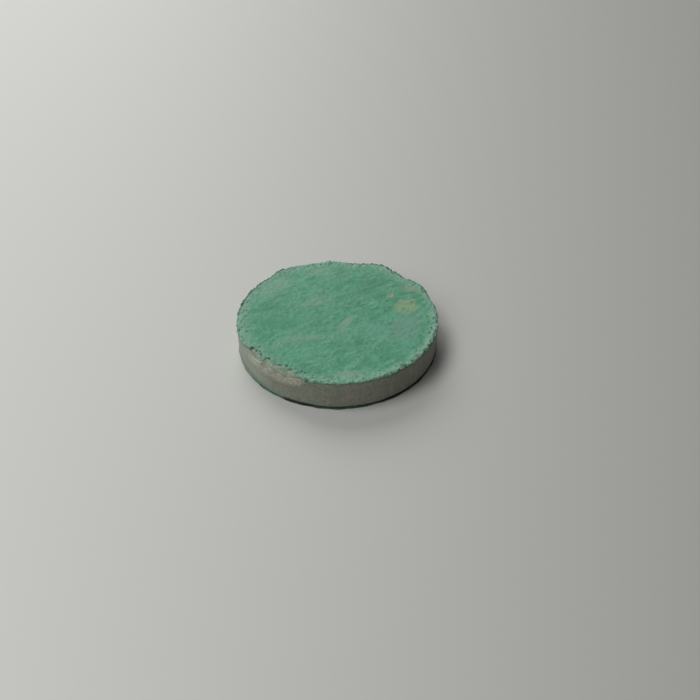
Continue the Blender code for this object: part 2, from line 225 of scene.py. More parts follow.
def bearing_window(bearing, start, end, ease):
    """1 between two bearings, easing to 0 outside them."""
    away = abs((bearing - (start + end) / 2 + 180.0) % 360.0 - 180.0)
    return 1.0 - smooth_step((away - (end - start) / 2) / ease)


def break_window(bearing):
    """1 along the broken stretch of the rim."""
    return bearing_window(bearing, BREAK_START, BREAK_END, BREAK_EASE)


def place_at(radius, bearing, height):
    """A place given by its distance from the axis, bearing and height."""
    return Vector((radius * math.cos(bearing * DEGREE), radius * math.sin(bearing * DEGREE), height))


def outline_of(piece):
    """How far the piece reaches from the axis at each whole degree of bearing."""
    reach = [0.0] * 360
    for point in piece.data.vertices:
        degree = round(math.degrees(math.atan2(point.co.y, point.co.x))) % 360
        reach[degree] = max(reach[degree], math.hypot(point.co.x, point.co.y))
    return reach


def reach_at(reach, bearing):
    """How far an outline reaches at any bearing."""
    low = math.floor(bearing)
    share = bearing - low
    return reach[low % 360] * (1.0 - share) + reach[(low + 1) % 360] * share


# ---------------------------------------------------------------- modelling helpers


def activate(piece):
    """Make the piece the only selected object."""
    if bpy.context.view_layer.objects.active:
        bpy.ops.object.mode_set(mode="OBJECT")
    bpy.ops.object.select_all(action="DESELECT")
    piece.select_set(True)
    bpy.context.view_layer.objects.active = piece


def resize(piece, factors):
    """Scale the piece's mesh about the origin."""
    activate(piece)
    bpy.ops.object.mode_set(mode="EDIT")
    bpy.ops.mesh.select_all(action="SELECT")
    bpy.ops.transform.resize(value=factors, center_override=(0, 0, 0))
    bpy.ops.object.mode_set(mode="OBJECT")


def press_flat(piece, axis, level, past):
    """Flatten onto a level whatever reaches past it. Past is 1 for upwards and -1 for downwards."""
    activate(piece)
    bpy.ops.object.mode_set(mode="EDIT")
    bpy.ops.mesh.select_all(action="DESELECT")
    bpy.ops.mesh.select_mode(type="VERT")
    bpy.ops.object.mode_set(mode="OBJECT")
    for point in piece.data.vertices:
        point.select = (point.co[axis] - level) * past > 0
    if any(point.select for point in piece.data.vertices):
        factors = [0.0 if side == axis else 1.0 for side in range(3)]
        middle = [level if side == axis else 0.0 for side in range(3)]
        bpy.ops.object.mode_set(mode="EDIT")
        bpy.ops.transform.resize(value=factors, center_override=middle)
        bpy.ops.object.mode_set(mode="OBJECT")


def copy_of_node(name, node):
    """A merged copy of a CAD node's mesh, in millimetres."""
    piece = bpy.data.objects.new(name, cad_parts[node].data.copy())
    bpy.context.scene.collection.objects.link(piece)
    piece.data.materials.clear()
    activate(piece)
    bpy.ops.mesh.customdata_custom_splitnormals_clear()
    bpy.ops.object.mode_set(mode="EDIT")
    bpy.ops.mesh.select_all(action="SELECT")
    bpy.ops.mesh.remove_doubles(threshold=MERGE_DISTANCE)
    bpy.ops.object.mode_set(mode="OBJECT")
    resize(piece, (1 / MM, 1 / MM, 1 / MM))
    return piece


def apply_modifier(piece, modifier):
    """Apply one modifier."""
    activate(piece)
    bpy.ops.object.modifier_apply(modifier=modifier.name)


def even_mesh(piece, size, flatness=1.0):
    """Remesh the piece in small even faces, finer through its thickness by the flatness factor."""
    resize(piece, (1, 1, flatness))
    modifier = piece.modifiers.new("even", "REMESH")
    modifier.mode = "VOXEL"
    modifier.voxel_size = size
    apply_modifier(piece, modifier)
    bpy.ops.object.mode_set(mode="EDIT")
    bpy.ops.mesh.select_all(action="SELECT")
    bpy.ops.mesh.remove_doubles(threshold=size * WELD_SHARE)
    bpy.ops.object.mode_set(mode="OBJECT")
    resize(piece, (1, 1, 1 / flatness))


def mark(piece, weights):
    """Store weights for every point, each as a vertex group and as an attribute that a material reads.

    Each weight is a function of the inset from the outline, the bearing and the height, in millimetres
    and degrees.
    """
    reach = outline_of(piece)
    places = []
    for point in piece.data.vertices:
        bearing = math.degrees(math.atan2(point.co.y, point.co.x))
        inset = reach_at(reach, bearing) - math.hypot(point.co.x, point.co.y)
        places.append((inset, bearing, point.co.z))
    for name, weigh in weights.items():
        values = [min(max(weigh(*place), 0.0), 1.0) for place in places]
        group = piece.vertex_groups.new(name=name)
        for index, value in enumerate(values):
            if value > 0:
                group.add([index], value, "REPLACE")
        attribute = piece.data.attributes.new(name + "_mask", "FLOAT", "POINT")
        attribute.data.foreach_set("value", values)


def displace(piece, group, strength, texture=None, middle=0.5, direction="NORMAL", guide=None):
    """Move the group's points by a texture, out where it is over the middle, or all alike without one."""
    modifier = piece.modifiers.new("displace", "DISPLACE")
    modifier.vertex_group = group
    modifier.strength = strength
    modifier.mid_level = middle if texture else 0.0
    modifier.direction = direction
    modifier.texture = texture
    modifier.texture_coords = "LOCAL"
    if guide:
        modifier.texture_coords = "OBJECT"
        modifier.texture_coords_object = guide
    apply_modifier(piece, modifier)


def mark_relief(piece, before):
    """Store which points stand out from where they were before, and which lie deeper."""
    lifts = []
    for point, old in zip(piece.data.vertices, before):
        outward = math.hypot(point.co.x, point.co.y) - math.hypot(old.x, old.y)
        lifts.append(point.co.z - old.z + outward)
    for name, sign in (("crest_mask", 1), ("hollow_mask", -1)):
        attribute = piece.data.attributes.new(name, "FLOAT", "POINT")
        attribute.data.foreach_set("value", [rise(lift * sign, RELIEF_LOW, RELIEF_HIGH) for lift in lifts])


def clouds(name, size):
    """Soft noise texture with lumps of a size in millimetres."""
    texture = bpy.data.textures.new(name, "CLOUDS")
    texture.noise_scale = size
    texture.noise_depth = 2
    texture.noise_basis = "IMPROVED_PERLIN"
    return texture


def cells(name, size):
    """Rounded grains of a size in millimetres, with creases between them."""
    texture = bpy.data.textures.new(name, "VORONOI")
    texture.noise_scale = size
    texture.distance_metric = "DISTANCE"
    return texture


def brush_guide(heading, length, width):
    """Empty whose axes stretch a texture along a brushing direction."""
    guide = bpy.data.objects.new("brush_guide", None)
    bpy.context.scene.collection.objects.link(guide)
    guide.rotation_euler = (0, 0, heading * DEGREE)
    guide.scale = (length, width, width)
    bpy.context.view_layer.update()
    return guide


def keep_in_box(piece):
    """Press flat whatever reaches past the solids' box."""
    for axis in range(3):
        press_flat(piece, axis, CAD_BOX[0][axis] / MM, -1)
        press_flat(piece, axis, CAD_BOX[1][axis] / MM - BOX_MARGIN, 1)


def finish_piece(piece, material, node=None):
    """Bring a shaped piece to metres, give it its finish and let it stand for its CAD node."""
    keep_in_box(piece)
    resize(piece, (MM, MM, MM))
    piece.vertex_groups.clear()
    bpy.ops.object.shade_smooth()
    piece.data.materials.append(material)
    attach(piece, "root")
    if node:
        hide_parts(node)


def landing(start, ray, hosts):
    """Where a ray first meets one of the hosts, or None."""
    hits = [host.ray_cast(start, ray) for host in hosts]
    places = [hit[1] for hit in hits if hit[0]]
    return min(places, key=lambda place: (place - start).length) if places else None


def scatter_lumps(name, hosts, lumps, sunk):
    """Small rough lumps, each sunk in the host that its ray meets. A lump is a start, a ray and a size."""
    bpy.context.view_layer.update()
    draw = random.Random(name)
    seated = [(landing(start, ray, hosts), ray, size) for start, ray, size in lumps]
    piece = bpy.data.objects.new(name, bpy.data.meshes.new(name))
    bpy.context.scene.collection.objects.link(piece)
    activate(piece)
    bpy.ops.object.mode_set(mode="EDIT")
    for place, ray, size in seated:
        if place:
            bpy.ops.mesh.primitive_ico_sphere_add(
                subdivisions=1, radius=size, location=place + ray * size * sunk,
                rotation=[draw.uniform(0, math.pi) for axis in range(3)],
                scale=[draw.uniform(*LUMP_STRETCH) for axis in range(3)],
            )
    bpy.ops.object.mode_set(mode="OBJECT")
    return piece


# ---------------------------------------------------------------- shader helpers


def shader_node(tree, kind, settings=None, inputs=None):
    """Add a node. Inputs are values or other nodes' outputs, by socket name or number."""
    node = tree.nodes.new(kind)
    for name, value in (settings or {}).items():
        setattr(node, name, value)
    for name, value in (inputs or {}).items():
        socket = node.inputs[name]
        if isinstance(value, bpy.types.NodeSocket):
            tree.links.new(value, socket)
        else:
            socket.default_value = value
    return node


def math_of(tree, operation, first, second):
    """Result of a Math node."""
    return shader_node(tree, "ShaderNodeMath", {"operation": operation}, {0: first, 1: second}).outputs[0]


def vector_of(tree, operation, first, second):
    """Vector result of a Vector Math node."""
    settings = {"operation": operation}
    return shader_node(tree, "ShaderNodeVectorMath", settings, {0: first, 1: second}).outputs[0]


def ramp(tree, value, low, high):
    """Value brought smoothly from 0 at low to 1 at high."""
    settings = {"interpolation_type": "SMOOTHSTEP", "clamp": True}
    inputs = {"Value": value, "From Min": low, "From Max": high}
    return shader_node(tree, "ShaderNodeMapRange", settings, inputs).outputs[0]


def share_of(tree, value, share):
    """Value times a fixed share."""
    return math_of(tree, "MULTIPLY", value, share)


def mixed(tree, factor, first, second):
    """Mix of two colours."""
    settings = {"data_type": "RGBA", "blend_type": "MIX"}
    return shader_node(tree, "ShaderNodeMix", settings, {0: factor, 6: first, 7: second}).outputs[2]


def tinted(tree, colour, where, share, tint):
    """The colour with a tint over it where a mask says, up to a share of it."""
    return mixed(tree, share_of(tree, where, share), colour, rgb(*tint))


def noise(tree, vector, scale, detail=3.0, roughness=0.55, distortion=0.0):
    """Noise value. Its scale is in lumps to the unit of the vector, a millimetre where that is the place."""
    inputs = {
        "Vector": vector, "Scale": scale, "Detail": detail, "Roughness": roughness,
        "Distortion": distortion,
    }
    return shader_node(tree, "ShaderNodeTexNoise", None, inputs).outputs[0]


def mask(tree, name):
    """A weight stored on the piece."""
    return shader_node(tree, "ShaderNodeAttribute", {"attribute_name": name + "_mask"}).outputs["Fac"]


def place_in_mm(tree):
    """Object coordinates in millimetres."""
    place = shader_node(tree, "ShaderNodeTexCoord").outputs["Object"]
    settings = {"operation": "SCALE"}
    return shader_node(tree, "ShaderNodeVectorMath", settings, {0: place, "Scale": 1 / MM}).outputs[0]


def rgb(red, green, blue):
    """Linear colour of an ordinary 0 to 255 one."""
    channels = []
    for level in (red, green, blue):
        share = level / 255
        channels.append(share / 12.92 if share <= 0.04045 else ((share + 0.055) / 1.055) ** 2.4)
    return (*channels, 1.0)


def new_material(name, roughness):
    """Material with its Principled shader."""
    material = bpy.data.materials.new(name)
    material.use_nodes = True
    shader = material.node_tree.nodes["Principled BSDF"]
    shader.inputs["Roughness"].default_value = roughness
    return material, material.node_tree, shader


def finish_shader(tree, shader, colour, relief, depth):
    """Connect the colour and the fine relief, whose depth is in millimetres."""
    tree.links.new(colour, shader.inputs["Base Color"])
    inputs = {"Height": relief, "Distance": depth * MM, "Strength": 1.0}
    bump = shader_node(tree, "ShaderNodeBump", None, inputs)
    tree.links.new(bump.outputs[0], shader.inputs["Normal"])


# ---------------------------------------------------------------- shared effects


def new_group(name, inputs, outputs):
    """Empty shader node group with sockets of the given kinds, the first for a place in millimetres."""
    tree = bpy.data.node_groups.new(name, "ShaderNodeTree")
    for socket, kind in {"Place": "Vector", **inputs}.items():
        tree.interface.new_socket(name=socket, in_out="INPUT", socket_type="NodeSocket" + kind)
    for socket, kind in outputs.items():
        tree.interface.new_socket(name=socket, in_out="OUTPUT", socket_type="NodeSocket" + kind)
    return tree, tree.nodes.new("NodeGroupInput").outputs, tree.nodes.new("NodeGroupOutput").inputs


def even_size(tree, size):
    """A vector with the same size on each axis."""
    return shader_node(tree, "ShaderNodeCombineXYZ", None, {"X": size, "Y": size, "Z": size}).outputs[0]


def drawn_out(tree, place, heading, length, width):
    """Place turned to a heading and divided by a length along it and a width across it."""
    turned = shader_node(
        tree, "ShaderNodeVectorRotate", {"rotation_type": "Z_AXIS"},
        {"Vector": place, "Angle": share_of(tree, heading, -DEGREE)},
    ).outputs[0]
    size = shader_node(tree, "ShaderNodeCombineXYZ", None, {"X": length, "Y": width, "Z": width}).outputs[0]
    return vector_of(tree, "DIVIDE", turned, size)


def make_brush_group():
    """Marks of a brush, drawn out along a heading."""
    inputs = {"Heading": "Float", "Length": "Float", "Width": "Float", "Waviness": "Float"}
    tree, given, result = new_group("brush marks", inputs, {"Marks": "Float"})
    drawn = drawn_out(tree, given["Place"], given["Heading"], given["Length"], given["Width"])
    tree.links.new(noise(tree, drawn, 1.0, 5.0, 0.6, given["Waviness"]), result["Marks"])
    return tree


def make_grit_group():
    """Fine grains, as a tone for each grain and as a height."""
    tree, given, result = new_group("grit", {"Size": "Float"}, {"Tone": "Float", "Height": "Float"})
    place = vector_of(tree, "DIVIDE", given["Place"], even_size(tree, given["Size"]))
    grains = shader_node(tree, "ShaderNodeTexVoronoi", None, {"Vector": place, "Scale": 1.0})
    tone = shader_node(tree, "ShaderNodeSeparateColor", None, {0: grains.outputs["Color"]}).outputs[0]
    dust = noise(tree, place, 1.7, 5.0, 0.7)
    mean = math_of(tree, "ADD", share_of(tree, tone, 0.5), share_of(tree, dust, 0.5))
    tree.links.new(mean, result["Tone"])
    domes = math_of(tree, "SUBTRACT", 1.0, grains.outputs["Distance"])
    height = math_of(tree, "ADD", share_of(tree, domes, 0.6), share_of(tree, dust, 0.5))
    tree.links.new(height, result["Height"])
    return tree


def make_dots_group():
    """Scattered dots: one in some of the cells of a pitch, with a radius as a share of it."""
    inputs = {"Pitch": "Float", "Radius": "Float", "Share": "Float"}
    tree, given, result = new_group("scattered dots", inputs, {"Mask": "Float"})
    place = vector_of(tree, "DIVIDE", given["Place"], even_size(tree, given["Pitch"]))
    grains = shader_node(tree, "ShaderNodeTexVoronoi", None, {"Vector": place, "Scale": 1.0})
    tone = shader_node(tree, "ShaderNodeSeparateColor", None, {0: grains.outputs["Color"]}).outputs[0]
    chosen = math_of(tree, "LESS_THAN", tone, given["Share"])
    ragged = math_of(tree, "ADD", grains.outputs["Distance"], share_of(tree, noise(tree, place, 3.0), 0.12))
    inner = share_of(tree, given["Radius"], 0.6)
    near = math_of(tree, "SUBTRACT", 1.0, ramp(tree, ragged, inner, given["Radius"]))
    tree.links.new(math_of(tree, "MULTIPLY", near, chosen), result["Mask"])
    return tree


def make_spot_group():
    """Soft ragged oval spot."""
    inputs = {
        "Centre": "Vector", "Heading": "Float", "Length": "Float", "Width": "Float", "Raggedness": "Float",
    }
    tree, given, result = new_group("oval spot", inputs, {"Mask": "Float"})
    moved = vector_of(tree, "SUBTRACT", given["Place"], given["Centre"])
    level = vector_of(tree, "MULTIPLY", moved, (1.0, 1.0, 0.0))
    oval = drawn_out(tree, level, given["Heading"], given["Length"], given["Width"])
    away = shader_node(tree, "ShaderNodeVectorMath", {"operation": "LENGTH"}, {0: oval}).outputs["Value"]
    ragged = math_of(tree, "SUBTRACT", noise(tree, given["Place"], 0.9, 5.0, 0.8), 0.5)
    wavy = math_of(tree, "ADD", away, math_of(tree, "MULTIPLY", ragged, given["Raggedness"]))
    tree.links.new(math_of(tree, "SUBTRACT", 1.0, ramp(tree, wavy, 0.45, 1.15)), result["Mask"])
    return tree


BRUSH_MARKS = make_brush_group()
GRIT = make_grit_group()
DOTS = make_dots_group()
OVAL_SPOT = make_spot_group()


def brushed(tree, place, heading, length, width, waviness):
    """Brush marks of a length and width in millimetres."""
    inputs = {"Place": place, "Heading": heading, "Length": length, "Width": width, "Waviness": waviness}
    return shader_node(tree, "ShaderNodeGroup", {"node_tree": BRUSH_MARKS}, inputs).outputs["Marks"]


def grit(tree, place, size):
    """Tone and height of grains of a size in millimetres."""
    node = shader_node(tree, "ShaderNodeGroup", {"node_tree": GRIT}, {"Place": place, "Size": size})
    return node.outputs["Tone"], node.outputs["Height"]


def dots(tree, place, pitch, radius, share):
    """Mask of scattered dots."""
    inputs = {"Place": place, "Pitch": pitch, "Radius": radius, "Share": share}
    return shader_node(tree, "ShaderNodeGroup", {"node_tree": DOTS}, inputs).outputs["Mask"]


def spot(tree, place, centre, heading, length, width, raggedness):
    """Mask of one spot. Its centre and its half length and half width are in millimetres."""
    inputs = {
        "Place": place, "Centre": (*centre, 0.0), "Heading": heading, "Length": length, "Width": width,
        "Raggedness": raggedness,
    }
    return shader_node(tree, "ShaderNodeGroup", {"node_tree": OVAL_SPOT}, inputs).outputs["Mask"]


def make_coat_group():
    """Brushed green coat. Crest and Hollow say how far a place stands out or lies deep.
    Crests are lightened as painted highlight and hollows darkened as painted shade.
    """
    inputs = {"Heading": "Float", "Crest": "Float", "Hollow": "Float"}
    tree, given, result = new_group("green coat", inputs, {"Colour": "Color", "Relief": "Float"})
    place = given["Place"]
    broad = brushed(tree, place, given["Heading"], 9.0, 5.0, 1.2)
    strokes = brushed(tree, place, given["Heading"], 2.6, 1.4, 1.0)
    hairs = brushed(tree, place, given["Heading"], 2.2, 0.5, 0.5)
    warmth = noise(tree, place, 0.19, 5.0, 0.62, 0.9)
    mottle = noise(tree, place, 0.95, 4.0, 0.6)
    colour = mixed(tree, ramp(tree, broad, 0.36, 0.6), rgb(62, 130, 98), rgb(80, 143, 115))
    colour = tinted(tree, colour, ramp(tree, warmth, 0.48, 0.66), 0.6, (93, 141, 114))
    colour = tinted(tree, colour, ramp(tree, strokes, 0.52, 0.72), 0.75, (94, 150, 124))
    colour = tinted(tree, colour, ramp(tree, strokes, 0.46, 0.26), 0.7, (56, 124, 91))
    colour = tinted(tree, colour, ramp(tree, mottle, 0.54, 0.72), 0.6, (100, 150, 125))
    colour = tinted(tree, colour, ramp(tree, mottle, 0.46, 0.3), 0.6, (60, 125, 94))
    colour = tinted(tree, colour, ramp(tree, hairs, 0.56, 0.8), 0.2, (105, 151, 127))
    tone, height = grit(tree, place, 0.3)
    colour = tinted(tree, colour, ramp(tree, tone, 0.62, 0.85), 0.16, (117, 158, 136))
    colour = tinted(tree, colour, ramp(tree, tone, 0.35, 0.18), 0.16, (61, 118, 90))
    chips = dots(tree, place, 2.0, 0.2, 0.3)
    colour = tinted(tree, colour, chips, 0.6, (123, 162, 140))
    # Painted highlight on the relief's crests and painted shade in its hollows
    colour = tinted(tree, colour, given["Crest"], 0.6, (108, 156, 133))
    colour = tinted(tree, colour, given["Hollow"], 0.65, (53, 121, 89))
    relief = math_of(tree, "ADD", share_of(tree, hairs, 0.3), share_of(tree, height, 0.45))
    tree.links.new(colour, result["Colour"])
    tree.links.new(math_of(tree, "ADD", relief, share_of(tree, mottle, 0.8)), result["Relief"])
    return tree


def make_stone_group():
    """Bare stone: tan grains, rusty and olive ones among them, and green dust where it is dusted."""
    outputs = {"Colour": "Color", "Relief": "Float"}
    tree, given, result = new_group("bare stone", {"Dusted": "Float"}, outputs)
    place = given["Place"]
    tone, height = grit(tree, place, 0.42)
    colour = mixed(tree, ramp(tree, tone, 0.25, 0.7), rgb(131, 134, 119), rgb(158, 159, 143))
    rust = ramp(tree, noise(tree, place, 0.9, 4.0, 0.65), 0.52, 0.72)
    colour = tinted(tree, colour, rust, 0.55, (158, 143, 126))
    olive = ramp(tree, noise(tree, place, 0.5, 3.0, 0.6, 0.8), 0.54, 0.7)
    colour = tinted(tree, colour, olive, 0.45, (127, 136, 117))
    specks = ramp(tree, noise(tree, place, 2.2, 4.0, 0.7), 0.42, 0.6)
    dust = math_of(tree, "MULTIPLY", given["Dusted"], specks)
    colour = tinted(tree, colour, dust, 0.7, (98, 138, 116))
    tree.links.new(colour, result["Colour"])
    tree.links.new(height, result["Relief"])
    return tree


def make_moulded_group():
    """Moulded surface with a fine spark finish and paler handling marks."""
    inputs = {"Colour": "Color", "Worn": "Color"}
    tree, given, result = new_group("moulded surface", inputs, {"Colour": "Color", "Relief": "Float"})
    marks = ramp(tree, noise(tree, given["Place"], 1.2, 6.0, 0.7), 0.5, 0.75)
    tree.links.new(mixed(tree, marks, given["Colour"], given["Worn"]), result["Colour"])
    tree.links.new(noise(tree, given["Place"], 9.0, 3.0, 0.6), result["Relief"])
    return tree


COAT_FINISH = make_coat_group()
STONE_FINISH = make_stone_group()
MOULDED_FINISH = make_moulded_group()


def finish_of(tree, group, inputs):
    """Colour and relief of a finish group."""
    node = shader_node(tree, "ShaderNodeGroup", {"node_tree": group}, inputs)
    return node.outputs["Colour"], node.outputs["Relief"]


def coat_finish(tree, place, heading):
    """Colour and relief of the brushed green coat."""
    crest = mask(tree, "crest")
    hollow = mask(tree, "hollow")
    inputs = {"Place": place, "Heading": heading, "Crest": crest, "Hollow": hollow}
    return finish_of(tree, COAT_FINISH, inputs)


def stone_finish(tree, place):
    """Colour and relief of bare stone."""
    return finish_of(tree, STONE_FINISH, {"Place": place, "Dusted": mask(tree, "dusted")})


# ---------------------------------------------------------------- materials


def make_upper_coat_material():
    """Green coat of the upper face: pale build-up and pits at the rim, worn streaks and a stain.

    The pits and a line along the back of the rim are painted dark as shade; the outer edge is darker.
    """
    material, tree, shader = new_material("brushed_green_coat", 0.78)
    place = place_in_mm(tree)
    colour, relief = coat_finish(tree, place, UPPER_BRUSHING)
    for centre, heading, length, width, strength, tint in FACE_MARKS:
        raggedness = PLAIN_RAGGEDNESS + NARROW_RAGGEDNESS / width
        shape = spot(tree, place, centre, heading, length, width, raggedness)
        colour = tinted(tree, colour, shape, strength, tint)
    patchy = ramp(tree, noise(tree, place, 0.6, 5.0, 0.65), 0.3, 0.62)
    rim = math_of(tree, "MULTIPLY", mask(tree, "rim"), patchy)
    colour = tinted(tree, colour, rim, 0.75, (119, 156, 137))
    blotches = ramp(tree, noise(tree, place, 0.9, 5.0, 0.65), 0.2, 0.6)
    pale = math_of(tree, "MULTIPLY", mask(tree, "pale"), blotches)
    colour = tinted(tree, colour, pale, 0.55, (124, 160, 141))
    freckles = math_of(tree, "MULTIPLY", mask(tree, "freckled"), dots(tree, place, 1.1, 0.3, 0.16))
    colour = tinted(tree, colour, freckles, 0.4, (60, 104, 81))
    # Darker along the coat's outer edge, in patches, and more so at the back
    edge_patches = ramp(tree, noise(tree, place, 0.7, 4.0), 0.25, 0.55)
    dark_band = math_of(tree, "MULTIPLY", mask(tree, "edge"), edge_patches)
    colour = tinted(tree, colour, dark_band, 0.8, (48, 80, 64))
    # Painted shade: a dark line along the back of the rim where the coat's edge lies in shadow
    colour = tinted(tree, colour, mask(tree, "shaded_outline"), 0.7, (44, 64, 54))
    flakes = ramp(tree, noise(tree, place, 2.0, 4.0, 0.7), 0.4, 0.56)
    chipped = math_of(tree, "MULTIPLY", mask(tree, "draped"), flakes)
    colour = tinted(tree, colour, chipped, 0.85, (134, 138, 122))
    # Painted shade in the pits
    colour = tinted(tree, colour, mask(tree, "pit"), 0.9, (22, 56, 42))
    finish_shader(tree, shader, colour, relief, 0.07)
    return material


def make_lower_coat_material():
    """Green coat of the underside, scuffed where it stood, with its edge painted dark as shade and a paler
    fringe at the back left.
    """
    material, tree, shader = new_material("green_underside_coat", 0.78)
    place = place_in_mm(tree)
    colour, relief = coat_finish(tree, place, LOWER_BRUSHING)
    scuffs = ramp(tree, noise(tree, place, 0.35, 6.0, 0.7), 0.55, 0.72)
    colour = tinted(tree, colour, scuffs, 0.5, (122, 142, 124))
    # Painted shade: the edge darkened to a near-black green as the shadow line where the disc meets the
    # floor
    colour = tinted(tree, colour, mask(tree, "edge"), 0.9, (14, 48, 36))
    colour = tinted(tree, colour, mask(tree, "shade"), 0.9, (12, 14, 12))
    # Paler green along the edge at the back left
    colour = tinted(tree, colour, mask(tree, "pale_fringe"), 0.8, (128, 143, 131))
    finish_shader(tree, shader, colour, relief, 0.1)
    return material


def make_stone_material():
    """Open grained stone."""
    material, tree, shader = new_material("grained_stone", 0.95)
    colour, relief = stone_finish(tree, place_in_mm(tree))
    finish_shader(tree, shader, colour, relief, 0.12)
    return material


def make_skin_material():
    """Grey sealing skin with faint drag marks and pores, painted shade along its foot, bare stone where it
    is broken.
    """
    material, tree, shader = new_material("grey_sealing_skin", 0.74)
    place = place_in_mm(tree)
    upright = vector_of(tree, "MULTIPLY", place, (1.0, 1.0, 0.22))
    drag = noise(tree, upright, 1.1, 5.0, 0.65)
    cloud = noise(tree, place, 0.24, 5.0, 0.6, 0.6)
    fine = noise(tree, place, 2.6, 5.0, 0.7)
    rosy = noise(tree, place, 0.75, 4.0, 0.6, 0.5)
    colour = mixed(tree, ramp(tree, cloud, 0.36, 0.64), rgb(123, 129, 115), rgb(135, 137, 123))
    colour = tinted(tree, colour, ramp(tree, rosy, 0.54, 0.72), 0.6, (146, 129, 120))
    colour = tinted(tree, colour, ramp(tree, rosy, 0.46, 0.3), 0.7, (107, 127, 111))
    colour = tinted(tree, colour, ramp(tree, drag, 0.53, 0.7), 0.7, (155, 150, 136))
    colour = tinted(tree, colour, ramp(tree, drag, 0.46, 0.3), 0.7, (105, 107, 96))
    colour = tinted(tree, colour, ramp(tree, fine, 0.53, 0.68), 0.8, (166, 160, 145))
    colour = tinted(tree, colour, ramp(tree, fine, 0.47, 0.32), 0.8, (87, 91, 81))
    blush = spot(tree, place, BLUSH_PLACE, 0, 0.9, 6.0, 1.6)
    colour = tinted(tree, colour, blush, 0.25, (153, 128, 121))
    flecks = math_of(tree, "MULTIPLY", blush, dots(tree, place, 0.6, 0.38, 0.5))
    colour = tinted(tree, colour, flecks, 0.6, (180, 166, 155))
    pores = dots(tree, place, 1.2, 0.14, 0.3)
    colour = tinted(tree, colour, pores, 0.6, (72, 72, 66))
    patches = ramp(tree, noise(tree, place, 0.5, 5.0, 0.65), 0.38, 0.6)
    smear = math_of(tree, "MULTIPLY", mask(tree, "smear"), patches)
    colour = tinted(tree, colour, smear, 0.6, (108, 144, 124))
    # Painted shade: the foot of the skin darkened to a dark green, and to near black where it lies in shadow
    colour = tinted(tree, colour, mask(tree, "dark_band"), 0.85, (18, 46, 35))
    colour = tinted(tree, colour, mask(tree, "shade"), 0.85, (16, 17, 14))
    stone, grains = stone_finish(tree, place)
    uneven = share_of(tree, math_of(tree, "SUBTRACT", fine, 0.5), 1.2)
    bare = ramp(tree, math_of(tree, "ADD", mask(tree, "broken"), uneven), 0.15, 1.0)
    colour = mixed(tree, bare, colour, stone)
    colour = tinted(tree, colour, mask(tree, "paler"), 0.4, (170, 178, 164))
    relief = math_of(tree, "ADD", share_of(tree, fine, 0.5), math_of(tree, "MULTIPLY", grains, bare))
    relief = math_of(tree, "SUBTRACT", relief, share_of(tree, pores, 0.6))
    finish_shader(tree, shader, colour, relief, 0.14)
    return material


def make_moulded_material(name, colour, worn, roughness):
    """Moulded plastic or rubber with a fine spark finish and paler handling marks."""
    material, tree, shader = new_material(name, roughness)
    inputs = {"Place": place_in_mm(tree), "Colour": colour, "Worn": worn}
    shown, relief = finish_of(tree, MOULDED_FINISH, inputs)
    finish_shader(tree, shader, shown, relief, 0.03)
    return material


# ---------------------------------------------------------------- coats


def all_pits():
    """The pits that are seen and small ones set at random round the rim."""
    draw = random.Random(PIT_SEED)
    pits = list(EDGE_PITS)
    for count in range(SMALL_PITS):
        bearing = draw.uniform(-180, 180)
        pits.append((bearing, draw.uniform(*SMALL_PIT_INSET), draw.uniform(*SMALL_PIT_RADIUS)))
    return pits


def pit_weigher(pits, reach):
    """A function that says how deep a place lies in the nearest pit."""
    def weigh(inset, bearing, height):
        deepest = 0.0
        if inset > PIT_REACH:
            return deepest
        for pit_bearing, pit_inset, size in pits:
            turn = (bearing - pit_bearing + 180.0) % 360.0 - 180.0
            if abs(turn) < PIT_TURN:
                away = math.hypot(inset - pit_inset, reach * turn * DEGREE)
                deepest = max(deepest, 1.0 - rise(away, size * PIT_CORE, size))
        return deepest * rise(height, COAT_BOTTOM + 0.1, COAT_BOTTOM + 0.3)
    return weigh


